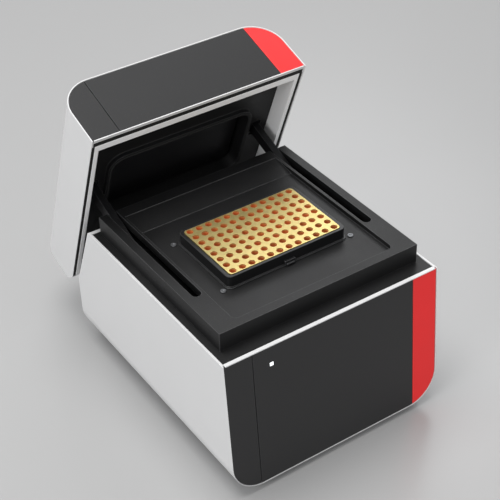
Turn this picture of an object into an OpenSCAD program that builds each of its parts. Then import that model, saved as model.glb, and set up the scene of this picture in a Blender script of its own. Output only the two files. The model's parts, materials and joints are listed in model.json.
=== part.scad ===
// Bench thermal cycler with a motor-driven lid, shown with the lid raised and swung open.
// Base pieces are drawn in base coordinates: y = 0 at the top edge of the front face, z = 0
// at the underside of the shell. Lid pieces are drawn as if the lid were closed and lifted:
// y runs back along the rim, z runs up into the lid, and in_lid() swings them open.

/* [Body] */
// Width of the body and of the lid
shell_w = 207.6; // [206:0.2:210]
// Height of the body shell, from its underside to its rim
shell_h = 131.2; // [130.8:0.2:133]
// Radius of the long rounded edges
shell_r = 28.9; // [24:0.1:30]
// Wall of the shells
wall = 1.8; // [1.4:0.1:2]
// How far the foot of the front face stands ahead of its top edge
front_lean = 10.3; // [8:0.1:12]
// Depth from the top edge of the front face to the back of the shell
shell_back = 239.1; // [237:0.1:244]
// Depth at which the rim ends and the sloping back starts
rim_back = 209.5; // [208:0.1:210]
// Height at which the sloping back meets the upright back
slope_foot = 63; // [60:0.5:64]
// Height of the feet
foot_h = 6; // [4:0.5:10]
// Distance of the seam in the front panel, left of the middle
seam_x = 77.8; // [76:0.1:80]
// Distance of the red strip's edge, right of the middle
red_x = 78.8; // [77:0.1:80]

/* [Deck] */
// Half width of the raised deck
deck_x = 95.6; // [95:0.1:95.6]
// Front edge of the raised deck
deck_front = 16.7; // [16.7:0.1:18]
// Rear edge of the raised deck
deck_back = 201; // [198:0.5:201]
// Height of the raised deck's top
deck_z = 148; // [147:0.1:148.4]
// Depth of the recess in the deck
recess_d = 4; // [3:0.1:4]
// Half width of the recess
recess_x = 77; // [75:0.1:77]
// Inner side of the arm slots
slot_in = 79.5; // [79.5:0.1:79.8]
// Outer side of the arm slots
slot_out = 87.8; // [87.8:0.1:88.2]

/* [Sample block] */
// Pitch of the wells, the laboratory plate standard
pitch = 9; // [9:9]
// Wells from left to right
cols = 12; // [12:12]
// Wells from front to back
rows = 8; // [8:8]
// Centre of the block, behind the front edge
block_y = 98.8; // [98.4:0.1:99.2]
// Height of the block's top face
block_z = 155.3; // [154.8:0.1:155.3]
// Radius of a well's mouth
well_r = 3; // [2.8:0.1:3.3]

/* [Lid] */
// Height of the lid
lid_h = 62.4; // [60:0.2:64]
// How far the lid swings
lid_angle = 68.2; // [60:0.1:68.2]
// How far the lid lifts before it swings
lift = 20; // [20:0.5:21]
// Gap between the two rims when the lid is shut
rim_gap = 0.8; // [0.8:0.1:1]
// Depth position of the hinge shaft
pivot_y = 152.2; // [152:0.1:152.4]
// Height of the hinge shaft with the lid lifted
pivot_z = 60.5; // [60.4:0.1:60.8]
// How far the top of the lid's front face leans back
lid_lean = 3.8; // [3:0.1:4]

/* [Drive] */
// Radius of the hinge shaft
shaft_r = 5; // [4:0.5:5]
// Gear module
gear_m = 1; // [1:1]
// Teeth on the hinge gear
gear_teeth = 28; // [28:28]
// Teeth on both pinions
pinion_teeth = 12; // [12:12]

/* [Hidden] */
$fn = 64;

light = [0.86, 0.86, 0.87];
dark = [0.20, 0.20, 0.21];
black = [0.11, 0.11, 0.12];
red = [0.90, 0.20, 0.20];
steel = [0.62, 0.64, 0.67];
gold = [0.87, 0.72, 0.33];
green = [0.10, 0.36, 0.22];

in_w = shell_w - 2*wall;
front_tilt = atan(front_lean/shell_h);
lid_tilt = atan(lid_lean/lid_h);
closed_z = shell_h + rim_gap + lift;
arm_t = pivot_z - closed_z;
lid_top_s = 209.2;
open_back = pivot_y + (lid_top_s - pivot_y)*cos(lid_angle) + (lid_h - arm_t)*sin(lid_angle);
mid_y = (open_back - front_lean)/2;
recess_z = deck_z - recess_d;
panel_back = 1.9;
ring_y0 = 2;
ring_y1 = 3;
strip_back = 3.1;
strip_t = 0.9;
body_lip = 0.5;
body_inset = 0.9;
lid_lip = 1;
lid_inset = 1.4;
groove_x = 102.9;
edge_step = 0.5;
arm_s = 93.5;
block_w = cols*pitch;
block_d = (rows - 1)*pitch + 7;
frame_x = block_w/2 + 3.5;
frame_y = block_d/2 + 2.5;
sink_x = 64;
sink_z = 133;
fan_z = 44;
fan_side = 80;
fan_t = 25;
motor_x = 64;
gear_x = 68;
gear_w = 6;
gear_gap = 0.15;
gear_r = gear_m*gear_teeth/2;
pinion_r = gear_m*pinion_teeth/2;
swing_pinion_z = pivot_z - gear_r - pinion_r - gear_gap;
beam_y = 172;
beam_d = 16;
rod_x = 60;
rod_y = 180;
rod_r = 4;
rack_x = 40;
rack_w = 8;
rack_pitch_y = 193.2;
lift_pinion_y = rack_pitch_y + pinion_r + gear_gap;
lift_pinion_z = 46;
motor_r = 11;
plate_x = 66;
plate_s = 36;
plate_t = 24.2;
pocket_x = 69.6;
pocket_s = 38.8;
pocket_r = 12;
boss_t = 13.4;
liner_t = 17.8;
pin_x = 45;
pin_s = 18.5;
inlet_x = 79;
inlet_z = 34;
switch_x = 49;
switch_z = 32;

body_profile = [[-front_lean, 0], [0, shell_h], [rim_back - 1.6, shell_h],
    [rim_back, shell_h - 1.2], [shell_back, slope_foot], [shell_back, 0]];
lid_profile = [[0, 0], [195.4, 0], [205.3, 7.5], [lid_top_s, lid_h], [lid_lean, lid_h]];
lid_inner_profile = [[3, 0.3], [194.8, 0.3], [203, 6.6], [203, liner_t - 0.3], [3, liner_t - 0.3]];

// ---- frames and helpers

module in_base() translate([0, -mid_y, foot_h]) children();

module in_lid() in_base()
    translate([0, pivot_y, pivot_z]) rotate([-lid_angle, 0, 0])
    translate([0, -pivot_y, -pivot_z + closed_z]) children();

module on_front() translate([0, -front_lean, 0]) rotate([-front_tilt, 0, 0]) children();

module on_lid_front() rotate([-lid_tilt, 0, 0]) children();

// Draws a shape seen from the front and stretches it from y0 back to y1
module along_y(y0, y1) translate([0, y1, 0]) rotate([90, 0, 0]) linear_extrude(y1 - y0) children();

// Draws a shape seen from the side and stretches it from x0 across to x1
module along_x(x0, x1) translate([x0, 0, 0]) rotate([90, 0, 90]) linear_extrude(x1 - x0) children();

module span(x0, x1, y0, y1, z0, z1) translate([x0, y0, z0]) cube([x1 - x0, y1 - y0, z1 - z0]);

module both_sides() {
    children();
    mirror([1, 0, 0]) children();
}

module rod_y(r, y0, y1, x, z) translate([x, y1, z]) rotate([90, 0, 0]) cylinder(r = r, h = y1 - y0);

module rod_x(r, x0, x1, y, z) translate([x0, y, z]) rotate([0, 90, 0]) cylinder(r = r, h = x1 - x0);

module rod_z(r, x, y, z0, z1) translate([x, y, z0]) cylinder(r = r, h = z1 - z0);

// Outline with rounded lower corners and a square top
module tub(w, h, r) {
    translate([-w/2, r]) square([w, h - r]);
    translate([-w/2 + r, 0]) square([w - 2*r, h]);
    for (side = [-1, 1]) translate([side*(w/2 - r), r]) circle(r);
}

// Outline with rounded upper corners and a square foot
module arch(w, h, r) translate([0, h]) mirror([0, 1]) tub(w, h, r);

// Rectangle centred on the origin with round corners
module round_rect(w, d, r) {
    square([w - 2*r, d], center = true);
    square([w, d - 2*r], center = true);
    for (x = [-1, 1], y = [-1, 1]) translate([x*(w/2 - r), y*(d/2 - r)]) circle(r);
}

module slab(w, d, r, y, z0, z1) translate([0, y, z0]) linear_extrude(z1 - z0) round_rect(w, d, r);

// Gear outline with straight-sided teeth and one tooth at the turn angle
module gear_outline(teeth, turn) {
    r = gear_m*teeth/2;
    circle(r - 1.1*gear_m);
    for (i = [0 : teeth - 1]) rotate(turn + i*360/teeth)
        polygon([[r - 1.5, -0.72], [r + 0.75, -0.3], [r + 0.75, 0.3], [r - 1.5, 0.72]]);
}

// ---- body casing

module body_shell() color(light) in_base() difference() {
    intersection() {
        along_y(-20, shell_back + 5) difference() {
            tub(shell_w, shell_h, shell_r);
            translate([0, wall]) tub(in_w, shell_h, shell_r - wall);
        }
        along_x(-shell_w, shell_w) polygon(body_profile);
    }
    on_front() along_y(-2, ring_y0) translate([0, body_lip])
        tub(shell_w - 2*body_lip, shell_h + 5, shell_r - body_lip);
    foot_places() cylinder(r = 2.3, h = 10, center = true);
    for (i = [0 : 8]) span(-34, 34, 66 + i*8, 69.4 + i*8, -1, wall + 1);
}

module foot_places() for (x = [-62, 62], y = [8, 222]) translate([x, y, 0]) children();

module base_plate() color(steel) in_base() difference() {
    union() {
        span(-72, 72, 0, 234, wall + 0.1, wall + 1.6);
        both_sides() span(70.5, 72, 0, 234, wall + 0.1, 10);
    }
    foot_places() cylinder(r = 2.3, h = 20, center = true);
    for (i = [0 : 8]) span(-34, 34, 66 + i*8, 69.4 + i*8, -1, wall + 4);
}

module feet() color(black) in_base() foot_places() difference() {
    union() {
        translate([0, 0, -foot_h]) cylinder(r1 = 8.4, r2 = 9.2, h = 1.2);
        translate([0, 0, -foot_h + 1.2]) cylinder(r = 9.2, h = foot_h - 1.3);
    }
    translate([0, 0, -foot_h - 1]) cylinder(r = 4.6, h = 3.6);
    translate([0, 0, -foot_h - 1]) cylinder(r = 2.3, h = foot_h + 2);
}

module foot_screws() color(steel) in_base() foot_places() {
    translate([0, 0, -foot_h + 0.5]) cylinder(r = 4, h = 2);
    translate([0, 0, -foot_h + 2]) cylinder(r = 1.9, h = foot_h + 6);
}

// Outline of the front panels, cut to the strip from x0 to x1
module front_outline(x0, x1) intersection() {
    translate([0, body_inset])
        tub(shell_w - 2*body_inset, shell_h - body_inset - 0.8, shell_r - body_inset);
    translate([x0, 0]) square([x1 - x0, shell_h]);
}

module front_frame() color(light) in_base() {
    on_front() along_y(ring_y0, ring_y1) difference() {
        translate([0, wall + 0.6]) tub(in_w - 0.4, shell_h - wall - 0.7, shell_r - wall);
        translate([0, 12]) tub(in_w - 18, shell_h - 26, shell_r - 9);
    }
    intersection() {
        span(-in_w/2 + 0.2, in_w/2 - 0.2, -2, strip_back, shell_h - strip_t, shell_h);
        along_x(-shell_w, shell_w) polygon(body_profile);
    }
}

module front_panel() color(dark) in_base() on_front() difference() {
    along_y(0.3, panel_back) front_outline(-seam_x + 0.25, red_x - 0.2);
    span(-62.5, -59.1, -1, 4, 112.2, 115.6);
}

module front_left_panel() color(dark) in_base() on_front()
    along_y(0.3, panel_back) front_outline(-shell_w, -seam_x - 0.25);

module front_red_panel() color(red) in_base() on_front()
    along_y(0.3, panel_back) front_outline(red_x + 0.2, shell_w);

module status_light() color("white") in_base() on_front() {
    span(-62.4, -59.2, 0.1, 9.2, 112.3, 115.5);
}

module rear_panel() color(light) in_base() difference() {
    intersection() {
        along_x(-in_w, in_w) polygon([[shell_back - 0.3, 0], [shell_back - 0.3, slope_foot - 0.1],
            [rim_back - 0.3, shell_h - 1.3], [rim_back - 1.7, shell_h], [204.6, shell_h],
            [204.6, shell_h - 2], [rim_back - 2.3, shell_h - 2.6],
            [shell_back - 2.3, slope_foot - 0.6], [shell_back - 2.3, 0]]);
        along_y(200, 245) translate([0, wall + 0.2]) tub(in_w - 0.4, shell_h, shell_r - wall);
    }
    both_sides() span(78.4, 89, 200, 216, shell_h - 14, shell_h + 1);
    for (x = [-1, 1], i = [0 : 6]) span(x*36 - 28, x*36 + 28, 205, 240, 68 + i*7, 71 + i*7);
    span(inlet_x - 15, inlet_x + 15, 230, 245, inlet_z - 16, inlet_z + 14);
    span(switch_x - 7, switch_x + 7, 230, 245, switch_z - 11, switch_z + 11);
    span(5.6, 36.4, 230, 245, 19.6, 44.4);
}

// ---- deck

module deck_ledge() color(black) in_base() difference() {
    span(-in_w/2 + 0.2, in_w/2 - 0.2, strip_back + 0.3, 204.4, 127.6, 130.6);
    span(-70, 70, 48, 150, 120, 140);
    both_sides() span(78.5, 88.8, 60, 210, 120, 140);
}

module deck_cover() color(black) in_base() difference() {
    span(-deck_x, deck_x, deck_front, deck_back, 130.7, deck_z);
    span(-deck_x + 3, deck_x - 3, deck_front + 3, deck_back - 3, 120, recess_z - 2.7);
    intersection() {
        slab(2*recess_x, 200, 4.5, 125, 140, 160);
        along_x(-recess_x, recess_x)
            polygon([[20, recess_z], [165, recess_z], [165, recess_z + edge_step],
                [189, deck_z - edge_step], [189, deck_z + 0.1], [20, deck_z + 0.1]]);
    }
    slab(2*frame_x + 0.6, 2*frame_y + 0.6, 4.5, block_y, 130, 150);
    both_sides() arm_slot();
    screw_places() cylinder(r = 1.6, h = 10, center = true);
}

module arm_slot() {
    span(slot_in, slot_out, 68, 210, 120, 160);
    rod_z((slot_out - slot_in)/2, (slot_in + slot_out)/2, 68, 120, 160);
}

module screw_places() for (x = [-1, 1], y = [-1, 1])
    translate([x*62.5, block_y + y*37, recess_z]) children();

module deck_screws() color(steel) in_base() screw_places() difference() {
    union() {
        translate([0, 0, 0.05]) cylinder(r = 2.4, h = 0.9);
        translate([0, 0, -8]) cylinder(r = 1.5, h = 8.5);
    }
    translate([0, 0, 0.4]) cylinder(r = 1.1, h = 2, $fn = 6);
}

module block_frame() color(black) in_base() difference() {
    union() {
        slab(2*frame_x, 2*frame_y, 4.5, block_y, recess_z - 4, block_z - 0.5);
        slab(2*frame_x + 3, 2*frame_y + 3, 5.5, block_y, recess_z + 0.05, recess_z + 1);
    }
    slab(block_w + 0.6, block_d + 0.6, 3.3, block_y, 120, 170);
}

module block_clip() color(dark) in_base() {
    span(-5, 5, block_y - frame_y - 2.4, block_y - frame_y - 0.05, recess_z + 1.05, recess_z + 5);
    span(-3.6, 3.6, block_y - frame_y - 3.4, block_y - frame_y - 2.3, recess_z + 1.05, recess_z + 2.6);
}

module well_places() for (i = [0 : cols - 1], j = [0 : rows - 1])
    translate([(i - (cols - 1)/2)*pitch, block_y + (j - (rows - 1)/2)*pitch, block_z]) children();

module sample_block() color(gold) in_base() difference() {
    slab(block_w, block_d, 3, block_y, 137, block_z);
    well_places() {
        translate([0, 0, -3]) cylinder(r = well_r, h = 4);
        translate([0, 0, -15]) cylinder(r1 = 1.3, r2 = well_r, h = 12.01);
    }
}

// ---- heat pump and cooling

module peltier_modules() color("white") in_base() for (i = [-1 : 1], j = [-1, 1])
    span(i*36 - 17, i*36 + 17, block_y + j*17.5 - 16.8, block_y + j*17.5 + 16.8, 133.35, 136.65);

module thermal_pads() color([0.3, 0.3, 0.32]) in_base() for (z = [sink_z + 0.02, 136.7])
    span(-53.5, 53.5, block_y - 34.6, block_y + 34.6, z, z + 0.28);

module heat_sink() color(steel) in_base() {
    span(-sink_x, sink_x, 52, 146, sink_z - 12, sink_z);
    for (i = [0 : 19]) translate([-sink_x + i*(2*sink_x - 2)/19, 52, 70]) cube([2, 94, 52]);
}

module fan_corners() for (x = [-1, 1], y = [-1, 1])
    translate([x*35.75, block_y + y*35.75, 0]) children();

module fan_frame() color(black) in_base() difference() {
    union() {
        difference() {
            slab(fan_side, fan_side, 4, block_y, fan_z, fan_z + fan_t);
            rod_z(38.2, 0, block_y, fan_z - 1, fan_z + fan_t + 1);
        }
        rod_z(17, 0, block_y, fan_z, fan_z + 3);
        for (a = [45 : 90 : 315]) translate([0, block_y, 0]) rotate(a) span(10, 39.5, -2, 2, fan_z, fan_z + 3);
    }
    fan_corners() translate([0, 0, fan_z - 1]) cylinder(r = 2.2, h = fan_t + 2);
}

module fan_rotor() color(dark) in_base() translate([0, block_y, fan_z]) {
    translate([0, 0, 4]) cylinder(r = 17, h = 18);
    for (i = [0 : 6]) rotate(i*360/7) translate([25.5, 0, 13]) rotate([38, 0, 0]) cube([21, 20, 1.6], center = true);
}

module fan_guard() color(steel) in_base() translate([0, block_y, fan_z - 1.6]) {
    for (r = [12 : 8 : 36]) difference() {
        cylinder(r = r + 0.8, h = 1.5);
        translate([0, 0, -1]) cylinder(r = r - 0.8, h = 4);
    }
    for (a = [45 : 90 : 315]) rotate(a) difference() {
        union() {
            span(11.5, 47, -0.8, 0.8, 0, 1.5);
            translate([50.6, 0, 0]) cylinder(r = 4, h = 1.5);
        }
        translate([50.6, 0, -1]) cylinder(r = 2.2, h = 4);
    }
}

// ---- electronics

module control_board() color(green) in_base() {
    span(-70, 70, 9.4, 11, 18, 122);
    for (i = [0 : 3]) span(-60 + i*32, -42 + i*32, 11, 13.2, 78, 96);
    for (i = [0 : 5]) span(-62 + i*22, -50 + i*22, 11, 16, 30, 38);
    span(-20, 22, 11, 19, 50, 62);
}

module driver_board() color(green) in_base() {
    span(-66, 66, 16, 48, 12, 13.6);
    for (i = [0 : 4]) rod_z(5, -52 + i*26, 26, 13.5, 31);
    for (i = [0 : 7]) span(-60 + i*16, -51 + i*16, 38, 42, 13.5, 24);
    for (x = [-62, 62], y = [20, 44]) rod_z(2.5, x, y, wall + 1.65, 12.1);
}

module power_supply() color(steel) in_base() {
    difference() {
        span(-88, -2, 190, 235, 14, 60);
        for (i = [0 : 8]) span(-78 + i*8, -75 + i*8, 196, 229, 58, 61);
        span(-86, -4, 192, 233, 16, 58.5);
    }
    for (x = [-46, -14]) span(x - 4, x + 4, 194, 231, wall + 1.65, 14.1);
    span(-80, -10, 196, 229, 15.9, 34);
}

module mains_inlet() color(black) in_base() difference() {
    union() {
        span(inlet_x - 14.8, inlet_x + 14.8, 216, 239, inlet_z - 15.8, inlet_z + 13.8);
        span(inlet_x - 19, inlet_x + 19, shell_back - 0.25, 240.8, inlet_z - 19, inlet_z + 17);
    }
    span(inlet_x - 12, inlet_x + 12, 221, 250, inlet_z - 5, inlet_z + 11);
    span(inlet_x - 11, inlet_x + 11, 219, 250, inlet_z - 15, inlet_z - 7.6);
}

module fuse_drawer() color(dark) in_base() {
    span(inlet_x - 10.8, inlet_x + 10.8, 220, 241.2, inlet_z - 14.8, inlet_z - 7.8);
}

module switch_housing() color(black) in_base() difference() {
    union() {
        span(switch_x - 6.8, switch_x + 6.8, 220, 239, switch_z - 10.8, switch_z + 10.8);
        span(switch_x - 8.4, switch_x + 8.4, shell_back - 0.25, 240.8, switch_z - 12.6, switch_z + 12.6);
    }
    span(switch_x - 5.4, switch_x + 5.4, 228, 250, switch_z - 9.2, switch_z + 9.2);
    rod_x(1.05, switch_x - 6.4, switch_x + 6.4, 238, switch_z);
}

module power_rocker() color(red) in_base() {
    along_x(switch_x - 5, switch_x + 5) polygon([[233, switch_z - 5], [239.2, switch_z - 8.2],
        [242.6, switch_z - 8.2], [240.9, switch_z], [242.6, switch_z + 8.2], [239.2, switch_z + 8.2],
        [233, switch_z + 5]]);
    rod_x(1, switch_x - 6.2, switch_x + 6.2, 238, switch_z);
}

module data_ports() color(steel) in_base() difference() {
    union() {
        span(6, 36, 222, 239.6, 20, 44);
        span(4.6, 37.4, shell_back - 0.25, 239.9, 18.6, 45.4);
    }
    span(8.5, 21.5, 226, 250, 26, 38);
    span(24.5, 33.5, 226, 250, 24, 40);
}

// ---- lift

module guide_rods() color(steel) in_base() both_sides() {
    rod_z(rod_r, rod_x, rod_y, wall + 1.65, 127.55);
    rod_z(8, rod_x, rod_y, wall + 1.65, 9);
}

module lift_carriage() color([0.45, 0.46, 0.48]) in_base() difference() {
    union() {
        both_sides() span(91, 97, 140, beam_y + beam_d, 44, 78);
        span(-92, 92, beam_y, beam_y + beam_d, 44, 60);
        span(motor_x, motor_x + 3, 140, beam_y + 2, 30, 74);
    }
    rod_x(7.02, -100, 100, pivot_y, pivot_z);
    both_sides() rod_z(6.02, rod_x, rod_y, 40, 70);
    rod_x(4.2, motor_x - 5, motor_x + 5, pivot_y, swing_pinion_z);
}

module carriage_bushes() color(gold) in_base() both_sides() {
    difference() {
        union() {
            rod_x(7, 90.9, 97, pivot_y, pivot_z);
            rod_x(9, 89.6, 90.95, pivot_y, pivot_z);
        }
        rod_x(shaft_r + 0.05, 80, 100, pivot_y, pivot_z);
    }
    difference() {
        union() {
            rod_z(6, rod_x, rod_y, 44, 60.1);
            rod_z(7.5, rod_x, rod_y, 60.05, 61.5);
        }
        rod_z(rod_r + 0.05, rod_x, rod_y, 40, 70);
    }
}

module lift_rack() color(steel) in_base() {
    span(rack_x, rack_x + rack_w, beam_y + beam_d + 0.05, rack_pitch_y - 1, 38, 78);
    for (i = [-2 : 9]) along_x(rack_x, rack_x + rack_w) translate([rack_pitch_y, lift_pinion_z + i*PI*gear_m])
        polygon([[-1.4, -0.72], [0.75, -0.3], [0.75, 0.3], [-1.4, 0.72]]);
}

module lift_pinion() color(gold) in_base() difference() {
    along_x(rack_x, rack_x + rack_w) translate([lift_pinion_y, lift_pinion_z]) gear_outline(pinion_teeth, 180/pinion_teeth);
    rod_x(2.05, 30, 60, lift_pinion_y, lift_pinion_z);
}

module lift_bracket() color(steel) in_base() difference() {
    union() {
        span(49, 51.5, 188.4, 212, wall + 1.65, 60);
        span(49, 69, 188.4, 212, wall + 1.65, wall + 3.2);
    }
    rod_x(4.4, 40, 60, lift_pinion_y, lift_pinion_z);
}

module lift_motor() color(dark) in_base() {
    rod_x(motor_r, 51.55, 86, lift_pinion_y, lift_pinion_z);
    rod_x(4.2, 49, 52, lift_pinion_y, lift_pinion_z);
    rod_x(2, 39, 50, lift_pinion_y, lift_pinion_z);
}

// ---- swing drive

module swing_motor() color(dark) in_base() {
    rod_x(motor_r, 18, motor_x - 0.05, pivot_y, swing_pinion_z);
    rod_x(4, motor_x - 1, motor_x + 3, pivot_y, swing_pinion_z);
    rod_x(2, motor_x + 2, gear_x + gear_w + 1, pivot_y, swing_pinion_z);
}

module swing_pinion() color(gold) in_base() difference() {
    along_x(gear_x, gear_x + gear_w) translate([pivot_y, swing_pinion_z])
        gear_outline(pinion_teeth, 90 + 180/pinion_teeth);
    rod_x(2.05, 60, 80, pivot_y, swing_pinion_z);
}

module swing_gear() color(steel) in_base() difference() {
    union() {
        along_x(gear_x, gear_x + gear_w) translate([pivot_y, pivot_z]) gear_outline(gear_teeth, -90);
        rod_x(8.5, gear_x + gear_w, 78, pivot_y, pivot_z);
    }
    rod_x(shaft_r + 0.02, 60, 90, pivot_y, pivot_z);
}

module hinge_shaft() color(steel) in_base() rod_x(shaft_r, -98.5, 98.5, pivot_y, pivot_z);

// An arm has an upright leg into the lid and a slanting strut to the hinge shaft
module arm(x0, x1) difference() {
    union() {
        along_x(x0, x1) polygon([[arm_s - 5.5, 34], [arm_s + 5.5, 34], [arm_s + 5.5, -41],
            [pivot_y + 5, arm_t + 8.6], [pivot_y - 5, arm_t - 8.6], [arm_s - 5.5, -49]]);
        rod_x(11, x0 - 0.3, x1 + 0.3, pivot_y, arm_t);
    }
    rod_x(shaft_r + 0.02, x0 - 1, x1 + 1, pivot_y, arm_t);
    for (t = [24, 31]) rod_x(2.1, x0 - 1, x1 + 1, arm_s, t);
}

module lid_arm_left() color(black) in_lid() arm(-87, -80.6);

module lid_arm_right() color(black) in_lid() arm(80.6, 87);

module arm_screws() color(steel) in_lid() both_sides() for (t = [24, 31]) {
    rod_x(2, 76, 87.1, arm_s, t);
    rod_x(3.6, 87.05, 89.2, arm_s, t);
}

// ---- lid casing

module lid_prism() along_x(-shell_w, shell_w) polygon(lid_profile);

module lid_cover() color(light) in_lid() difference() {
    intersection() {
        along_y(-5, 215) difference() {
            arch(shell_w, lid_h, shell_r);
            translate([0, -1]) arch(in_w, lid_h - wall + 1, shell_r - wall);
        }
        lid_prism();
    }
    on_lid_front() along_y(-2, ring_y0) translate([0, -2])
        arch(shell_w - 2*lid_lip, lid_h - lid_lip + 2, shell_r - lid_lip);
    both_sides() span(in_w/2 - 0.1, groove_x + 0.1, 8.2, 194.5, -1, 5.2);
}

// Outline of the lid's front panels, cut to the strip from x0 to x1
module lid_outline(x0, x1) intersection() {
    translate([0, 1.3])
        arch(shell_w - 2*lid_inset, lid_h - lid_inset - 1.3, shell_r - lid_inset);
    translate([x0, 0]) square([x1 - x0, lid_h]);
}

module lid_front_frame() color(light) in_lid() {
    on_lid_front() {
        along_y(ring_y0, ring_y1) difference() {
            translate([0, 5.4]) arch(in_w - 0.4, lid_h - wall - 5.8, shell_r - wall);
            translate([0, 12]) arch(in_w - 18, lid_h - 24, shell_r - 10);
        }
        span(-in_w/2 + 0.5, in_w/2 - 0.5, ring_y0, ring_y1, 0.4, 6);
    }
    intersection() {
        span(-in_w/2 + 0.2, in_w/2 - 0.2, -1, strip_back, 0, strip_t);
        lid_prism();
    }
}

module lid_front_panel() color(dark) in_lid() on_lid_front()
    along_y(0.3, panel_back) lid_outline(-seam_x + 0.25, red_x - 0.2);

module lid_left_panel() color(dark) in_lid() on_lid_front()
    along_y(0.3, panel_back) lid_outline(-shell_w, -seam_x - 0.25);

module lid_red_panel() color(red) in_lid() on_lid_front()
    along_y(0.3, panel_back) lid_outline(red_x + 0.2, shell_w);

module lid_rear_panel() color(light) in_lid() difference() {
    intersection() {
        along_y(180, 215) translate([0, 0.1]) arch(in_w - 0.4, lid_h - wall - 0.3, shell_r - wall);
        along_x(-shell_w, shell_w) polygon([[194.9, 0.1], [204.9, 7.6], [208.7, lid_h],
            [206.7, lid_h], [203.1, 8.6], [203.1, 6.4], [195.1, 0.4]]);
    }
    rear_screw_places() cylinder(r = 1.7, h = 12, center = true);
}

module rear_screw_places() for (x = [-78, 78], t = [26, 46])
    translate([x, 205.3 + (t - 7.5)*0.0718, t]) rotate([-90 + 4.1, 0, 0]) children();

module lid_rear_screws() color(steel) in_lid() rear_screw_places() difference() {
    union() {
        translate([0, 0, 0.05]) cylinder(r = 3, h = 1.2);
        translate([0, 0, -5]) cylinder(r = 1.6, h = 5.5);
    }
    translate([0, 0, 0.5]) cylinder(r = 1.2, h = 2, $fn = 6);
}

module lid_rim_frame() color(light) in_lid() intersection() {
    difference() {
        span(-99.9, 99.9, 8.6, 203.6, 0.3, liner_t - 0.3);
        span(-96, 96, 15.7, 201.6, -1, liner_t + 1);
    }
    along_x(-shell_w, shell_w) polygon(lid_inner_profile);
}

module lid_gasket() color(black) in_lid() {
    span(-in_w/2 + 0.1, in_w/2 - 0.1, strip_back + 0.4, 8.5, 0.4, 5);
    both_sides() span(100, groove_x, 8.4, 194, 0.8, 5);
}

// ---- lid inside

module lid_liner() color(black) in_lid() difference() {
    union() {
        span(-100.8, 100.8, 9, 202.4, liner_t - 0.25, liner_t + 1.8);
        slab(2*pocket_x + 7, 2*pocket_s + 7, pocket_r + 3, block_y, boss_t, liner_t + 1);
        slab(2*pocket_x + 4, 2*pocket_s + 4, pocket_r + 2, block_y, liner_t, 34);
    }
    slab(2*pocket_x, 2*pocket_s, pocket_r, block_y, 0, 60);
    both_sides() span(79.2, 88.4, arm_s - 8.5, arm_s + 8.5, 0, 60);
    both_sides() span(96.1, 102, 98, 124, 0, 60);
}

module block_seal() color([0.16, 0.16, 0.17]) in_lid() difference() {
    slab(2*pocket_x + 5, 2*pocket_s + 5, pocket_r + 2, block_y, boss_t - 0.95, boss_t - 0.05);
    slab(2*pocket_x + 1, 2*pocket_s + 1, pocket_r + 1, block_y, 0, 60);
}

module lid_bridge() color(steel) in_lid() difference() {
    union() {
        span(-101, 101, 72, 126, 36, 38.5);
        both_sides() span(78, 80.5, arm_s - 8, arm_s + 8, 20.2, 37);
        both_sides() span(96.6, 100.4, 100, 122, liner_t - 0.2, 37);
    }
    pin_places() cylinder(r = 2.6, h = 100, center = true);
    both_sides() for (t = [24, 31]) rod_x(2.1, 70, 90, arm_s, t);
}

module pin_places() for (x = [-1, 1], s = [-1, 1])
    translate([x*pin_x, block_y + s*pin_s, 0]) children();

module heated_plate() color([0.16, 0.16, 0.17]) in_lid()
    slab(2*plate_x, 2*plate_s, 9, block_y, plate_t, plate_t + 6);

module heater_mat() color([0.75, 0.42, 0.15]) in_lid() difference() {
    slab(2*plate_x - 8, 2*plate_s - 8, 6, block_y, plate_t + 6.03, plate_t + 6.9);
    pin_places() cylinder(r = 5.6, h = 100, center = true);
}

module plate_pins() color(steel) in_lid() pin_places() {
    translate([0, 0, plate_t + 6.03]) cylinder(r = 2.5, h = 14);
    translate([0, 0, 38.55]) cylinder(r = 4.2, h = 1.6);
}

module plate_springs() color(steel) in_lid() pin_places() for (z = [0.5, 1.2])
    translate([0, 0, plate_t + 6.05 + z]) rotate_extrude() translate([4, 0]) circle(0.42);

body_shell();
base_plate();
feet();
foot_screws();
front_frame();
front_panel();
front_left_panel();
front_red_panel();
status_light();
rear_panel();
deck_ledge();
deck_cover();
deck_screws();
block_frame();
block_clip();
sample_block();
peltier_modules();
thermal_pads();
heat_sink();
fan_frame();
fan_rotor();
fan_guard();
control_board();
driver_board();
power_supply();
mains_inlet();
fuse_drawer();
switch_housing();
power_rocker();
data_ports();
guide_rods();
lift_carriage();
carriage_bushes();
lift_rack();
lift_pinion();
lift_motor();
lift_bracket();
swing_motor();
swing_pinion();
swing_gear();
hinge_shaft();
lid_arm_left();
lid_arm_right();
arm_screws();
lid_bridge();
lid_cover();
lid_front_frame();
lid_front_panel();
lid_left_panel();
lid_red_panel();
lid_rear_panel();
lid_rear_screws();
lid_rim_frame();
lid_gasket();
lid_liner();
block_seal();
heated_plate();
heater_mat();
plate_pins();
plate_springs();
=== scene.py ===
# Thermal cycler on a pale bench top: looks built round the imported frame, in metres
import bpy
import bmesh
import json
from math import cos, pi, radians, sin
from mathutils import Matrix, Vector


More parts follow.
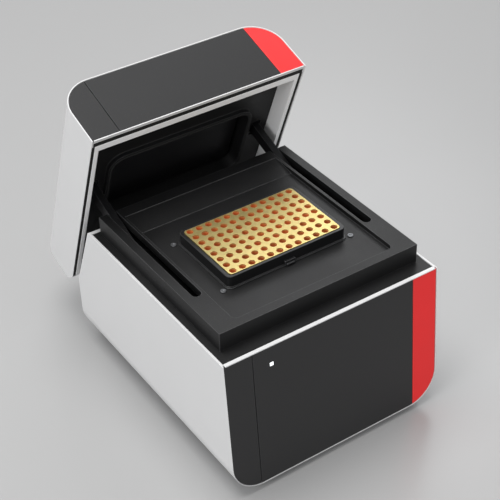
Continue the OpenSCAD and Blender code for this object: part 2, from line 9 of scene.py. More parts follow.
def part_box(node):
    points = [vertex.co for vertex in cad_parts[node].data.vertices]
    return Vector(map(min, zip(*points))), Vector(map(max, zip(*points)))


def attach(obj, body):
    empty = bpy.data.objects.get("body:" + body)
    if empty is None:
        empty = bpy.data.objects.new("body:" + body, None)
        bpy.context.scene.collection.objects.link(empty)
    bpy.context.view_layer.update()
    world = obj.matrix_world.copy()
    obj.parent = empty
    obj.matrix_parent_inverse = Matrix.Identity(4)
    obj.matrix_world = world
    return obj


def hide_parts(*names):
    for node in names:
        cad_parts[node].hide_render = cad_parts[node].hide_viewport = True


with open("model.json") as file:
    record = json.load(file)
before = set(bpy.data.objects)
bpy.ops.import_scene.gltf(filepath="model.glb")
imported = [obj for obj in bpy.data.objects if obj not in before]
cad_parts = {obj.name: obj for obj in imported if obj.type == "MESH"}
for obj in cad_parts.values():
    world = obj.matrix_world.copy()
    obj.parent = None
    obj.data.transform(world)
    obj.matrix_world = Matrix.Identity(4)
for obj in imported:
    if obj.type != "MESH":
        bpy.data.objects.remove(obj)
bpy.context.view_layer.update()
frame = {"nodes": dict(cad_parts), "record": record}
nodes = frame["nodes"]
bodyOf = {n: b for b, names in frame["record"]["behaviour"]["bodies"].items() for n in names}
slotOf = {s["node"]: s["material_slot"] for s in frame["record"]["subparts"]}
scene = bpy.context.scene
mm = 0.001
shellLow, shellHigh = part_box("body_shell")

# the camera's place is measured from the foot of the front face, at the middle of its width
view = {
    "place": (-0.47761, -0.59659, 0.78307),
    "azimuth": -33.36,
    "elevation": 37.02,
    "roll": -1.47,
    "lens": 93.27,
    "shift": 0.0017,
}


def aimCamera(v):
    az, el, roll = radians(v["azimuth"]), radians(v["elevation"]), radians(v["roll"])
    back = Vector((sin(az) * cos(el), -cos(az) * cos(el), sin(el)))
    right = Vector((0, 0, 1)).cross(back).normalized()
    up = back.cross(right)
    side = right * cos(roll) + up * sin(roll)
    top = up * cos(roll) - right * sin(roll)
    cam = bpy.data.cameras.new("camera")
    cam.lens = v["lens"]
    cam.sensor_width = 36
    cam.shift_x = v["shift"]
    cam.clip_end = 20
    holder = bpy.data.objects.new("camera", cam)
    turn = Matrix((side, top, back)).transposed().to_4x4()
    foot = Vector(((shellLow.x + shellHigh.x) / 2, shellLow.y, 0))
    holder.matrix_world = Matrix.Translation(foot + Vector(v["place"])) @ turn
    scene.collection.objects.link(holder)
    scene.camera = holder


aimCamera(view)

studio = {
    "sky": (0.80, 0.802, 0.805),
    "skyStrength": 0.66,
    "lamps": [  # name, place, aimed at, size, power, colour
        ("topSoft", (-0.3, 0.25, 2.2), (0, 0, 0.1), 1.6, 38, (1, 0.995, 0.985)),
        ("leftSoft", (-1.8, -0.5, 0.9), (0, 0, 0.1), 1.2, 16, (1, 1, 1)),
        ("rearSoft", (1.2, 1.4, 1.6), (0, 0.05, 0.15), 1.2, 9, (0.97, 0.98, 1)),
        ("frontFill", (-0.3, -2.0, 0.35), (0, 0, 0.2), 1.4, 7, (1, 1, 1)),
    ],
}


def lightStudio(s):
    world = bpy.data.worlds.new("studioWorld")
    scene.world = world
    world.use_nodes = True
    backdrop = world.node_tree.nodes["Background"]
    backdrop.inputs["Color"].default_value = (*s["sky"], 1)
    backdrop.inputs["Strength"].default_value = s["skyStrength"]
    for name, place, target, size, power, colour in s["lamps"]:
        lamp = bpy.data.lights.new(name, "AREA")
        lamp.shape = "DISK"
        lamp.size = size
        lamp.energy = power
        lamp.color = colour
        holder = bpy.data.objects.new(name, lamp)
        holder.location = place
        holder.rotation_euler = (Vector(target) - Vector(place)).to_track_quat("-Z", "Y").to_euler()
        scene.collection.objects.link(holder)
    scene.view_settings.view_transform = "Standard"


lightStudio(studio)
print("camera and studio set")


def newGroup(name, inputs, outputs):
    tree = bpy.data.node_groups.new(name, "ShaderNodeTree")
    for label, value in inputs.items():
        socket = tree.interface.new_socket(label, in_out="INPUT", socket_type="NodeSocketFloat")
        socket.default_value = value
    for label, kind in outputs.items():
        tree.interface.new_socket(label, in_out="OUTPUT", socket_type=kind)
    start = tree.nodes.new("NodeGroupInput")
    end = tree.nodes.new("NodeGroupOutput")
    return tree, start.outputs, end.inputs


def addNode(tree, kind, **settings):
    n = tree.nodes.new(kind)
    for key, value in settings.items():
        setattr(n, key, value)
    return n


def compute(tree, operation, a, b):
    n = addNode(tree, "ShaderNodeMath", operation=operation)
    for socket, value in zip(n.inputs, (a, b)):
        if isinstance(value, (int, float)):
            socket.default_value = value
        else:
            tree.links.new(value, socket)
    return n.outputs[0]


def blendColours(tree, mask, low, high):
    n = addNode(tree, "ShaderNodeMix", data_type="RGBA")
    for socket, value in ((n.inputs[0], mask), (n.inputs[6], low), (n.inputs[7], high)):
        if isinstance(value, tuple):
            socket.default_value = (*value, 1)
        else:
            tree.links.new(value, socket)
    return n.outputs[2]


def noiseAt(tree, place, scale, detail=2.0, rough=0.5):
    n = addNode(tree, "ShaderNodeTexNoise")
    tree.links.new(place, n.inputs["Vector"])
    n.inputs["Detail"].default_value = detail
    n.inputs["Roughness"].default_value = rough
    if isinstance(scale, (int, float)):
        n.inputs["Scale"].default_value = scale
    else:
        tree.links.new(scale, n.inputs["Scale"])
    return n.outputs["Fac"]


def ramped(tree, value, low, high):
    n = addNode(tree, "ShaderNodeMapRange", interpolation_type="SMOOTHSTEP")
    tree.links.new(value, n.inputs["Value"])
    n.inputs["From Min"].default_value = low
    n.inputs["From Max"].default_value = high
    return n.outputs["Result"]


def makeGrainGroup():  # fine moulded or blasted grain, with a slow drift in tone
    tree, given, out = newGroup(
        "surfaceGrain",
        {"Grain Scale": 1400.0, "Pit Scale": 2600.0, "Pit Share": 0.5, "Depth": 0.2},
        {"Normal": "NodeSocketVector", "Tone": "NodeSocketFloat", "Patch": "NodeSocketFloat"})
    place = addNode(tree, "ShaderNodeTexCoord").outputs["Object"]
    grain = noiseAt(tree, place, given["Grain Scale"], 3.0, 0.6)
    pits = addNode(tree, "ShaderNodeTexVoronoi", feature="SMOOTH_F1")
    tree.links.new(place, pits.inputs["Vector"])
    tree.links.new(given["Pit Scale"], pits.inputs["Scale"])
    pitHeight = compute(tree, "MULTIPLY", pits.outputs["Distance"], given["Pit Share"])
    height = compute(tree, "ADD", grain, pitHeight)
    bump = addNode(tree, "ShaderNodeBump")
    bump.inputs["Distance"].default_value = 0.0001
    tree.links.new(given["Depth"], bump.inputs["Strength"])
    tree.links.new(height, bump.inputs["Height"])
    tree.links.new(bump.outputs["Normal"], out["Normal"])
    tree.links.new(height, out["Tone"])
    tree.links.new(noiseAt(tree, place, 22.0, 4.0, 0.55), out["Patch"])
    return tree


def makeEdgeHighlightGroup():  # painted highlight along the edges, broken up by noise, and settled dust
    tree, given, out = newGroup(
        "edgeHighlightAndDust",
        {"Edge Low": 0.01, "Edge High": 0.12, "Edge Width": 0.0008, "Dust": 0.3},
        {"Edge": "NodeSocketFloat", "Dust": "NodeSocketFloat"})
    shape = addNode(tree, "ShaderNodeNewGeometry")
    place = addNode(tree, "ShaderNodeTexCoord").outputs["Object"]
    around = addNode(tree, "ShaderNodeBevel", samples=4)
    tree.links.new(given["Edge Width"], around.inputs["Radius"])
    turned = addNode(tree, "ShaderNodeVectorMath", operation="DOT_PRODUCT")
    tree.links.new(around.outputs[0], turned.inputs[0])
    tree.links.new(shape.outputs["Normal"], turned.inputs[1])
    rise = addNode(tree, "ShaderNodeMapRange", interpolation_type="SMOOTHSTEP")
    tree.links.new(compute(tree, "SUBTRACT", 1.0, turned.outputs["Value"]), rise.inputs["Value"])
    tree.links.new(given["Edge Low"], rise.inputs["From Min"])
    tree.links.new(given["Edge High"], rise.inputs["From Max"])
    patchy = ramped(tree, noiseAt(tree, place, 160.0, 3.0), 0.3, 0.65)
    broken = compute(tree, "ADD", compute(tree, "MULTIPLY", patchy, 0.35), 0.65)
    tree.links.new(compute(tree, "MULTIPLY", rise.outputs["Result"], broken), out["Edge"])
    facing = addNode(tree, "ShaderNodeSeparateXYZ")
    tree.links.new(shape.outputs["Normal"], facing.inputs[0])
    upward = ramped(tree, facing.outputs["Z"], 0.5, 1.0)
    specks = ramped(tree, noiseAt(tree, place, 900.0, 5.0, 0.75), 0.6, 0.74)
    dust = compute(tree, "MULTIPLY", compute(tree, "MULTIPLY", upward, specks), given["Dust"])
    tree.links.new(dust, out["Dust"])
    return tree


def makeBrushGroup():  # fine lines left by a machining or rolling pass along X
    tree, given, out = newGroup(
        "brushedLines", {"Line Scale": 3000.0, "Depth": 0.12},
        {"Normal": "NodeSocketVector", "Tone": "NodeSocketFloat"})
    place = addNode(tree, "ShaderNodeTexCoord").outputs["Object"]
    stretch = addNode(tree, "ShaderNodeMapping")
    stretch.inputs["Scale"].default_value = (0.02, 1, 1)
    tree.links.new(place, stretch.inputs["Vector"])
    lines = noiseAt(tree, stretch.outputs["Vector"], given["Line Scale"], 2.0, 0.5)
    bump = addNode(tree, "ShaderNodeBump")
    bump.inputs["Distance"].default_value = 0.0001
    tree.links.new(given["Depth"], bump.inputs["Strength"])
    tree.links.new(lines, bump.inputs["Height"])
    tree.links.new(bump.outputs["Normal"], out["Normal"])
    tree.links.new(lines, out["Tone"])
    return tree


grainGroup = makeGrainGroup()
edgeHighlightGroup = makeEdgeHighlightGroup()
brushGroup = makeBrushGroup()

# base colours and painted edge-highlight colours, roughness, metal, grain: what makes each finish its own
finishes = {
    "light_shell": dict(base=(0.62, 0.622, 0.626), drift=0.006, highlightColour=(0.80, 0.80, 0.81), rough=0.34,
                        grain=1500, pits=2400, share=0.3, depth=0.035, coat=0.12, dust=0.03),
    # rim_white is the shell paint made lighter: painted light on the lid's downward-facing rim frame
    "rim_white": dict(base=(0.88, 0.88, 0.885), drift=0.006, highlightColour=(0.95, 0.95, 0.95), rough=0.36,
                      grain=1500, pits=2400, share=0.3, depth=0.03, coat=0.1, dust=0.03),
    "dark_panel": dict(base=(0.0165, 0.0165, 0.0172), drift=0.05, highlightColour=(0.05, 0.05, 0.053), rough=0.42,
                       grain=1700, pits=2600, share=0.6, depth=0.16, shine=0.4, dust=0.12),
    "lid_dark_panel": dict(base=(0.0155, 0.0155, 0.0162), drift=0.05, highlightColour=(0.05, 0.05, 0.053),
                           rough=0.46, grain=1700, pits=2600, share=0.6, depth=0.16, shine=0.3,
                           dust=0.12),
    "red_panel": dict(base=(0.88, 0.020, 0.022), drift=0.02, highlightColour=(0.85, 0.09, 0.08), rough=0.38,
                      grain=1700, pits=2600, share=0.4, depth=0.05, shine=0.35, dust=0.03),
    "light_pipe": dict(base=(0.95, 0.97, 1), drift=0.02, highlightColour=(1, 1, 1), rough=0.2, grain=700,
                       pits=1500, share=0.2, depth=0.04, glow=0.9, dust=0),
    "deck_black": dict(base=(0.0058, 0.0058, 0.0062), drift=0.12, highlightColour=(0.085, 0.085, 0.088), rough=0.44,
                       grain=1500, pits=2300, share=1.1, depth=0.26, shine=0.36, dust=0.14),
    "frame_black": dict(base=(0.0055, 0.0055, 0.006), drift=0.1, highlightColour=(0.11, 0.11, 0.115), rough=0.34,
                        grain=1700, pits=2700, share=0.8, depth=0.16, shine=0.42, dust=0.1),
    "anodised_black": dict(base=(0.011, 0.011, 0.012), drift=0.1, highlightColour=(0.10, 0.10, 0.105), rough=0.34,
                           grain=2600, pits=4000, share=0.5, depth=0.14, metal=0.5, dust=0.1),
    "gold": dict(base=(0.62, 0.50, 0.21), drift=0.04, highlightColour=(1.0, 0.84, 0.34), rough=0.34, grain=2200,
                 pits=3300, share=1.2, depth=0.42, metal=1.0, dust=0),
    "rubber": dict(base=(0.011, 0.011, 0.011), drift=0.2, highlightColour=(0.03, 0.03, 0.03), rough=0.72,
                   grain=1100, pits=1900, share=0.9, depth=0.4, shine=0.35, dust=0.4),
    "alumina": dict(base=(0.78, 0.78, 0.75), drift=0.05, highlightColour=(0.85, 0.85, 0.83), rough=0.6,
                    grain=2500, pits=3000, share=0.5, depth=0.1, dust=0.1),
    "graphite": dict(base=(0.05, 0.05, 0.055), drift=0.1, highlightColour=(0.1, 0.1, 0.1), rough=0.55,
                     grain=900, pits=1400, share=0.5, depth=0.2, dust=0),
    "board_green": dict(base=(0.012, 0.09, 0.04), drift=0.12, highlightColour=(0.05, 0.2, 0.1), rough=0.4,
                        grain=700, pits=1100, share=0.5, depth=0.12, coat=0.2, dust=0.2),
    "bronze": dict(base=(0.50, 0.31, 0.13), drift=0.1, highlightColour=(0.7, 0.5, 0.25), rough=0.42, grain=1900,
                   pits=2800, share=0.9, depth=0.25, metal=1.0, dust=0),
    "motor_steel": dict(base=(0.05, 0.05, 0.055), drift=0.1, highlightColour=(0.3, 0.3, 0.31), rough=0.4,
                        grain=900, pits=1700, share=0.4, depth=0.14, metal=0.4, dust=0.1),
    "heater_film": dict(base=(0.45, 0.16, 0.03), drift=0.1, highlightColour=(0.5, 0.2, 0.05), rough=0.35,
                        grain=500, pits=900, share=0.4, depth=0.08, coat=0.2, dust=0),
    "copper": dict(base=(0.72, 0.24, 0.07), drift=0.15, highlightColour=(1.0, 0.62, 0.28), rough=0.42,
                   grain=1900, pits=2800, share=0.6, depth=0.16, metal=0.35, dust=0),
}

brushedFinishes = {
    "screw_steel": dict(base=(0.20, 0.205, 0.215), low=(0.14, 0.145, 0.15), rough=0.46, lines=5200,
                        depth=0.1),
    "sheet_steel": dict(base=(0.55, 0.57, 0.60), low=(0.42, 0.44, 0.47), rough=0.38, lines=1800, depth=0.12),
    "cast_aluminium": dict(base=(0.68, 0.69, 0.71), low=(0.52, 0.53, 0.55), rough=0.36,
                           lines=1500, depth=0.12),
    "port_steel": dict(base=(0.62, 0.63, 0.65), low=(0.48, 0.49, 0.51), rough=0.28, lines=3000, depth=0.08),
    "ground_steel": dict(base=(0.62, 0.63, 0.65), low=(0.50, 0.51, 0.53), rough=0.22,
                         lines=4200, depth=0.06),
}


def startMaterial(name, rough, metal):
    mat = bpy.data.materials.new(name)
    mat.use_nodes = True
    tree = mat.node_tree
    shader = tree.nodes["Principled BSDF"]
    shader.inputs["Roughness"].default_value = rough
    shader.inputs["Metallic"].default_value = metal
    return mat, tree, shader


def placeGroup(tree, group, values):
    n = addNode(tree, "ShaderNodeGroup", node_tree=group)
    for label, value in values.items():
        n.inputs[label].default_value = value
    return n


def grainedMaterial(name, f):
    mat, tree, shader = startMaterial(name, f["rough"], f.get("metal", 0.0))
    grain = placeGroup(tree, grainGroup, {"Grain Scale": f["grain"], "Pit Scale": f["pits"],
                                          "Pit Share": f["share"], "Depth": f["depth"]})
    highlightAndDust = placeGroup(tree, edgeHighlightGroup, {"Dust": f["dust"]})
    darker = tuple(c * (1 - f["drift"]) for c in f["base"])
    lighter = tuple(min(1, c * (1 + f["drift"])) for c in f["base"])
    slow = ramped(tree, grain.outputs["Patch"], 0.3, 0.7)
    body = blendColours(tree, slow, darker, lighter)
    # edges lifted towards the highlight colour: a painted highlight along the edges
    withHighlight = blendColours(tree, highlightAndDust.outputs["Edge"], body, f["highlightColour"])
    dusty = blendColours(tree, highlightAndDust.outputs["Dust"], withHighlight, (0.42, 0.42, 0.41))
    tree.links.new(dusty, shader.inputs["Base Color"])
    fine = compute(tree, "MULTIPLY", ramped(tree, grain.outputs["Tone"], 0.3, 1.2), 0.10)
    swing = compute(tree, "ADD", compute(tree, "MULTIPLY", slow, 0.06), fine)
    tree.links.new(compute(tree, "ADD", swing, f["rough"] - 0.07), shader.inputs["Roughness"])
    tree.links.new(grain.outputs["Normal"], shader.inputs["Normal"])
    if "shine" in f:
        shader.inputs["Specular IOR Level"].default_value = f["shine"]
    if "coat" in f:
        shader.inputs["Coat Weight"].default_value = f["coat"]
        shader.inputs["Coat Roughness"].default_value = 0.22
    if "glow" in f:
        shader.inputs["Emission Color"].default_value = (*f["base"], 1)
        shader.inputs["Emission Strength"].default_value = f["glow"]
    return mat


def brushedMaterial(name, f):
    mat, tree, shader = startMaterial(name, f["rough"], 1.0)
    lines = placeGroup(tree, brushGroup, {"Line Scale": f["lines"], "Depth": f["depth"]})
    highlightAndDust = placeGroup(tree, edgeHighlightGroup, {"Dust": 0.0})
    tone = blendColours(tree, ramped(tree, lines.outputs["Tone"], 0.3, 0.7), f["low"], f["base"])
    # edges lifted to a brighter steel: a painted highlight
    highlightTint = tuple(min(1, c * 1.25) for c in f["base"])
    tree.links.new(blendColours(tree, highlightAndDust.outputs["Edge"], tone, highlightTint), shader.inputs["Base Color"])
    rough = compute(tree, "ADD", compute(tree, "MULTIPLY", lines.outputs["Tone"], 0.12), f["rough"] - 0.06)
    tree.links.new(rough, shader.inputs["Roughness"])
    tree.links.new(lines.outputs["Normal"], shader.inputs["Normal"])
    return mat


materials = {name: grainedMaterial(name, f) for name, f in finishes.items()}
materials.update({name: brushedMaterial(name, f) for name, f in brushedFinishes.items()})

for name, node in nodes.items():
    node.data.materials.clear()
    node.data.materials.append(materials[slotOf[name]])
print("finishes made:", len(materials))

floorLook = {"size": 12.0, "base": (0.385, 0.385, 0.387), "rough": 0.26}


def makeFloor(f):
    mesh = bpy.data.meshes.new("floor")
    h = f["size"] / 2
    mesh.from_pydata([(-h, -h, 0), (h, -h, 0), (h, h, 0), (-h, h, 0)], [], [(0, 1, 2, 3)])
    floor = bpy.data.objects.new("floor", mesh)
    scene.collection.objects.link(floor)
    mat, tree, shader = startMaterial("benchTop", f["rough"], 0.0)
    place = addNode(tree, "ShaderNodeTexCoord").outputs["Object"]
    cloud = noiseAt(tree, place, 3.0, 3.0)
    low = tuple(c * 0.985 for c in f["base"])
    tree.links.new(blendColours(tree, cloud, low, f["base"]), shader.inputs["Base Color"])
    mesh.materials.append(mat)


makeFloor(floorLook)


def settled(piece):  # applies the live modifiers and drops them
    bpy.context.view_layer.update()
    graph = bpy.context.evaluated_depsgraph_get()
    mesh = bpy.data.meshes.new_from_object(piece.evaluated_get(graph))
    piece.modifiers.clear()
    old = piece.data
    piece.data = mesh
    bpy.data.meshes.remove(old)
    return mesh


# node: edge radius in mm, and how many steps the rounding takes
softEdges = {
    "body_shell": (0.35, 2), "front_frame": (0.3, 2), "front_panel": (0.3, 2),
    "front_left_panel": (0.3, 2), "front_red_panel": (0.3, 2), "rear_panel": (0.25, 1),
    "deck_ledge": (0.35, 2), "deck_cover": (0.6, 3), "block_frame": (0.7, 3),
    "block_clip": (0.3, 2), "sample_block": (0.65, 2), "deck_screws": (0.2, 2),
    "lid_cover": (0.35, 2), "lid_front_frame": (0.3, 2), "lid_front_panel": (0.3, 2),
    "lid_left_panel": (0.3, 2), "lid_red_panel": (0.3, 2), "lid_rear_panel": (0.35, 2),
    "lid_rim_frame": (0.45, 2), "lid_liner": (0.6, 3), "lid_arm_left": (0.5, 2),
    "lid_arm_right": (0.5, 2), "heated_plate": (0.9, 3), "block_seal": (0.35, 2),
    "lid_gasket": (0.3, 2), "feet": (0.5, 2), "mains_inlet": (0.6, 2), "fuse_drawer": (0.3, 2),
    "switch_housing": (0.6, 2), "power_rocker": (0.4, 2), "data_ports": (0.25, 2),
    "status_light": (0.25, 2), "lid_rear_screws": (0.2, 2),
}


weldDistance = 0.002 * mm


def softCopy(name, radius, steps):
    mesh = nodes[name].data.copy()
    mesh.name = name + "Soft"
    form = bmesh.new()
    form.from_mesh(mesh)
    bmesh.ops.remove_doubles(form, verts=form.verts, dist=weldDistance)
    bmesh.ops.dissolve_limit(form, angle_limit=radians(0.4), verts=form.verts, edges=form.edges)
    for face in form.faces:
        face.smooth = True
    form.to_mesh(mesh)
    form.free()
    piece = bpy.data.objects.new(name + "Soft", mesh)
    scene.collection.objects.link(piece)
    bevel = piece.modifiers.new("rounding", "BEVEL")
    bevel.width = radius * mm
    bevel.segments = steps
    bevel.limit_method = "ANGLE"
    bevel.angle_limit = radians(28)
    bevel.use_clamp_overlap = True
    mesh = settled(piece)
    mesh.set_sharp_from_angle(angle=radians(50))
    flatter = piece.modifiers.new("flatFaces", "WEIGHTED_NORMAL")
    flatter.keep_sharp = True
    flatter.weight = 100
    settled(piece)
    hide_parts(name)
    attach(piece, bodyOf[name])
    return piece


for name, (radius, steps) in softEdges.items():
    piece = softCopy(name, radius, steps)
    print("softened", name, len(piece.data.polygons), "faces")


def makeGridTree():  # what repeats: an item, two counts and two pitches
    tree = bpy.data.node_groups.new("gridOfItems", "GeometryNodeTree")
    wanted = (("Item", "NodeSocketObject"), ("Finish", "NodeSocketMaterial"), ("Columns", "NodeSocketInt"),
              ("Rows", "NodeSocketInt"), ("Column Pitch", "NodeSocketFloat"),
              ("Row Pitch", "NodeSocketFloat"), ("Centre", "NodeSocketVector"),
              ("Turn", "NodeSocketVector"), ("Spin", "NodeSocketFloat"), ("Seed", "NodeSocketInt"))
    for label, kind in wanted:
        tree.interface.new_socket(label, in_out="INPUT", socket_type=kind)
    tree.interface.new_socket("Geometry", in_out="OUTPUT", socket_type="NodeSocketGeometry")
    given = tree.nodes.new("NodeGroupInput").outputs
    end = tree.nodes.new("NodeGroupOutput")
    grid = tree.nodes.new("GeometryNodeMeshGrid")
    for axis, count, pitch in (("X", "Columns", "Column Pitch"), ("Y", "Rows", "Row Pitch")):
        gaps = compute(tree, "SUBTRACT", given[count], 1)
        tree.links.new(compute(tree, "MULTIPLY", gaps, given[pitch]), grid.inputs["Size " + axis])
        tree.links.new(given[count], grid.inputs["Vertices " + axis])
    item = tree.nodes.new("GeometryNodeObjectInfo")
    tree.links.new(given["Item"], item.inputs["Object"])
    spin = tree.nodes.new("FunctionNodeRandomValue")
    spin.data_type = "FLOAT"
    tree.links.new(given["Spin"], spin.inputs[3])
    tree.links.new(given["Seed"], spin.inputs["Seed"])
    spin.inputs[2].default_value = 0
    turn = tree.nodes.new("ShaderNodeCombineXYZ")
    tree.links.new(spin.outputs[1], turn.inputs["Z"])
    spread = tree.nodes.new("GeometryNodeInstanceOnPoints")
    tree.links.new(grid.outputs["Mesh"], spread.inputs["Points"])
    tree.links.new(item.outputs["Geometry"], spread.inputs["Instance"])
    tree.links.new(turn.outputs[0], spread.inputs["Rotation"])
    place = tree.nodes.new("GeometryNodeTransform")
    tree.links.new(spread.outputs[0], place.inputs["Geometry"])
    tree.links.new(given["Centre"], place.inputs["Translation"])
    tree.links.new(given["Turn"], place.inputs["Rotation"])
    real = tree.nodes.new("GeometryNodeRealizeInstances")
    tree.links.new(place.outputs[0], real.inputs[0])
    paint = tree.nodes.new("GeometryNodeSetMaterial")
    tree.links.new(real.outputs[0], paint.inputs["Geometry"])
    tree.links.new(given["Finish"], paint.inputs["Material"])
    tree.links.new(paint.outputs[0], end.inputs[0])
    return tree


gridTree = makeGridTree()


def setInput(modifier, label, value):
    for socket in modifier.node_group.interface.items_tree:
        if socket.name == label and socket.in_out == "INPUT":
            modifier[socket.identifier] = value


def gridPiece(name, itemMesh, spec, body, finish):
    item = bpy.data.objects.new(name + "Item", itemMesh)
    scene.collection.objects.link(item)
    host = bpy.data.objects.new(name, bpy.data.meshes.new(name + "Start"))
    scene.collection.objects.link(host)
    layout = host.modifiers.new("layout", "NODES")
    layout.node_group = gridTree
    values = {"Item": item, "Finish": materials[finish], "Columns": spec["columns"],
              "Rows": spec["rows"], "Column Pitch": spec["columnPitch"] * mm,
              "Row Pitch": spec["rowPitch"] * mm, "Centre": spec["centre"],
              "Turn": spec.get("turn", (0.0, 0.0, 0.0)), "Spin": spec.get("spin", 0.0),
              "Seed": spec.get("seed", 1)}
    for label, value in values.items():
        setInput(layout, label, value)
    mesh = settled(host)
    mesh.shade_smooth()
    mesh.set_sharp_from_angle(angle=radians(35))
    bpy.data.objects.remove(item)
    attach(host, body)
    print(name, len(mesh.polygons), "faces")


def turnedMesh(name, outline, steps):  # a closed outline in mm, radius and height, spun about Z
    form = bmesh.new()
    rings = []
    for r, z in outline:
        if r == 0:
            rings.append([form.verts.new((0, 0, z * mm))])
        else:
            turns = [2 * pi * i / steps for i in range(steps)]
            rings.append([form.verts.new((r * cos(a) * mm, r * sin(a) * mm, z * mm)) for a in turns])
    pairs = list(zip(rings, rings[1:]))
    if len(rings[0]) > 1:
        pairs.append((rings[-1], rings[0]))
    for a, b in pairs:
        for i in range(steps):
            j = (i + 1) % steps
            corners = [a[i % len(a)], a[j % len(a)], b[j % len(b)], b[i % len(b)]]
            corners = list(dict.fromkeys(corners))
            if len(corners) > 2:
                form.faces.new(corners)
    bmesh.ops.recalc_face_normals(form, faces=form.faces)
    mesh = bpy.data.meshes.new(name)
    form.to_mesh(mesh)
    form.free()
    return mesh


def boxMesh(name, size, edge=0.15):  # a small block in mm with chamfered edges
    form = bmesh.new()
    bmesh.ops.create_cube(form, size=1)
    bmesh.ops.scale(form, vec=Vector(size) * mm, verts=form.verts)
    bmesh.ops.bevel(form, geom=form.edges[:], offset=edge * mm, segments=1, affect="EDGES")
    mesh = bpy.data.meshes.new(name)
    form.to_mesh(mesh)
    form.free()
    return mesh


blockLow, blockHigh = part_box("sample_block")
wellCup = {
    "columns": 12, "rows": 8, "pitch": 9.0,
    "mouth": 2.93, "foot": 1.25, "rimDrop": 0.95, "depth": 14.8, "sheet": 0.12, "steps": 24,
}


def makeWellCups(w):
    top, low, t = -w["rimDrop"], -w["depth"], w["sheet"]
    outline = [(w["mouth"], top), (w["mouth"], -3.1), (w["foot"], low), (0, low),
               (0, low + t), (w["foot"] - t, low + t), (w["mouth"] - t, -3.05), (w["mouth"] - t, top)]
    centre = ((blockLow.x + blockHigh.x) / 2, (blockLow.y + blockHigh.y) / 2, blockHigh.z)
    spec = {"columns": w["columns"], "rows": w["rows"], "columnPitch": w["pitch"],
            "rowPitch": w["pitch"], "centre": centre}
    gridPiece("wellLinings", turnedMesh("wellCup", outline, w["steps"]), spec, "base", "copper")


makeWellCups(wellCup)

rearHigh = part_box("rear_panel")[1]
rearPoints = [v.co for v in nodes["rear_panel"].data.vertices]
slopeFoot = Vector((0, rearHigh.y, max(p.z for p in rearPoints if p.y > rearHigh.y - 0.1 * mm)))
slopeHead = Vector((0, max(p.y for p in rearPoints if p.z > rearHigh.z - 2 * mm), rearHigh.z - 1.3 * mm))
slopeRun = slopeHead - slopeFoot
slopeTilt = slopeRun.angle(Vector((0, 0, 1)))
ventScreen = {"upSlope": 0.415, "wire": 0.22, "across": 58.0, "tall": 54.0, "pitch": 2.0, "behind": 3.0,
              "x": 36.0}
panelScrew = {"head": 3.0, "rise": 1.3, "socket": 1.5, "deep": 0.9, "x": 93.0,
              "lowHeight": 52.0, "lowPitch": 26.0, "highPitch": 40.0}


def makeVentScreens(v):
    middle = slopeFoot + slopeRun * v["upSlope"]
    inward = Vector((0, -cos(slopeTilt), -sin(slopeTilt))) * v["behind"] * mm
    lean = (slopeTilt, 0.0, 0.0)
    for side, x in (("Left", -v["x"]), ("Right", v["x"])):
        centre = middle + inward + Vector((x * mm, 0, 0))
        tall = turnedMesh("upWire", [(0, -0.5 * v["tall"]), (v["wire"], -0.5 * v["tall"]),
                                     (v["wire"], 0.5 * v["tall"]), (0, 0.5 * v["tall"])], 6)
        spec = {"columns": int(v["across"] / v["pitch"]) + 1, "rows": 1, "columnPitch": v["pitch"],
                "rowPitch": 1.0, "centre": tuple(centre), "turn": lean}
        gridPiece("ventUpWires" + side, tall, spec, "base", "motor_steel")
        wide = turnedMesh("acrossWire", [(0, -0.5 * v["across"]), (v["wire"], -0.5 * v["across"]),
                                         (v["wire"], 0.5 * v["across"]), (0, 0.5 * v["across"])], 6)
        wide.transform(Matrix.Rotation(pi / 2, 4, "Y"))
        wide.transform(Matrix.Rotation(-pi / 2, 4, "X"))
        spec = {"columns": 1, "rows": int(v["tall"] / v["pitch"]), "columnPitch": 1.0,
                "rowPitch": v["pitch"], "centre": tuple(centre),
                "turn": (slopeTilt + pi / 2, 0.0, 0.0)}
        gridPiece("ventAcrossWires" + side, wide, spec, "base", "motor_steel")


makeVentScreens(ventScreen)


def screwMesh(s):
    outline = [(0, -1.0), (s["head"] * 0.6, -1.0), (s["head"], 0), (s["head"], s["rise"] * 0.55),
               (s["head"] * 0.72, s["rise"]), (s["socket"], s["rise"]),
               (s["socket"], s["rise"] - s["deep"]), (0, s["rise"] - s["deep"])]
    return turnedMesh("panelScrew", outline, 24)


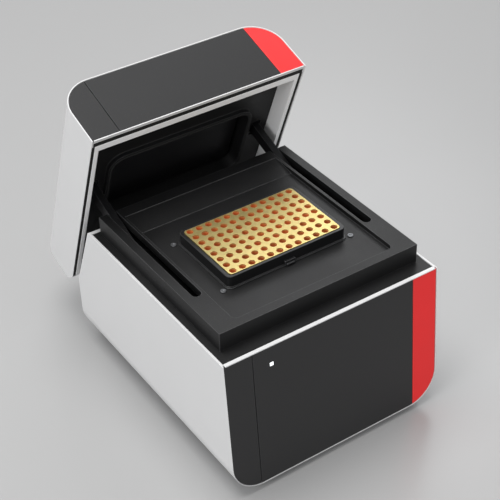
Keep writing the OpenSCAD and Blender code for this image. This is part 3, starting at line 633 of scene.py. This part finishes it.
def makePanelScrews(s):
    upright = {"columns": 2, "rows": 2, "columnPitch": 2 * s["x"], "rowPitch": s["lowPitch"],
               "spin": 2 * pi, "seed": 4, "centre": (0.0, rearHigh.y, s["lowHeight"] * mm),
               "turn": (-pi / 2, 0.0, 0.0)}
    gridPiece("rearScrewsLow", screwMesh(s), upright, "base", "screw_steel")
    middle = slopeFoot + slopeRun * 0.5
    sloping = dict(upright, rowPitch=s["highPitch"], centre=tuple(middle),
                   turn=(slopeTilt - pi / 2, 0.0, 0.0))
    gridPiece("rearScrewsHigh", screwMesh(s), sloping, "base", "screw_steel")


makePanelScrews(panelScrew)

inletMid = sum(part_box("mains_inlet"), Vector()) / 2
portMid = sum(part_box("data_ports"), Vector()) / 2
connectors = {  # sizes in mm; places from the middle of the inlet or of the port block
    "pinSize": (4.0, 15.0, 2.0), "pinPitch": 14.0, "pinRise": 2.2, "earthRise": 6.2, "pinBack": -0.5,
    "contactSize": (0.5, 9.0, 0.35), "contactPitch": 1.02, "contactX": -5.3, "contactRise": 4.2,
    "tongueSize": (2.0, 9.0, 11.0), "tongueX": 8.7,
}


def makeConnectors(c):
    def place(mid, x, y, z):
        return tuple(mid + Vector((x, y, z)) * mm)

    live = {"columns": 2, "rows": 1, "columnPitch": c["pinPitch"], "rowPitch": 1.0,
            "centre": place(inletMid, 0, c["pinBack"], c["pinRise"])}
    gridPiece("inletPinPair", boxMesh("inletPin", c["pinSize"]), live, "base", "port_steel")
    earth = dict(live, columns=1, centre=place(inletMid, 0, c["pinBack"], c["earthRise"]))
    gridPiece("inletEarthPin", boxMesh("earthPin", c["pinSize"]), earth, "base", "port_steel")
    row = {"columns": 8, "rows": 1, "columnPitch": c["contactPitch"], "rowPitch": 1.0,
           "centre": place(portMid, c["contactX"], 1.0, c["contactRise"])}
    gridPiece("portContacts", boxMesh("contact", c["contactSize"], 0.06), row, "base", "bronze")
    tongue = dict(row, columns=1, centre=place(portMid, c["tongueX"], 1.0, 0))
    gridPiece("portTongue", boxMesh("tongue", c["tongueSize"]), tongue, "base", "frame_black")


makeConnectors(connectors)
print("repeated pieces made")

bpy.context.view_layer.update()
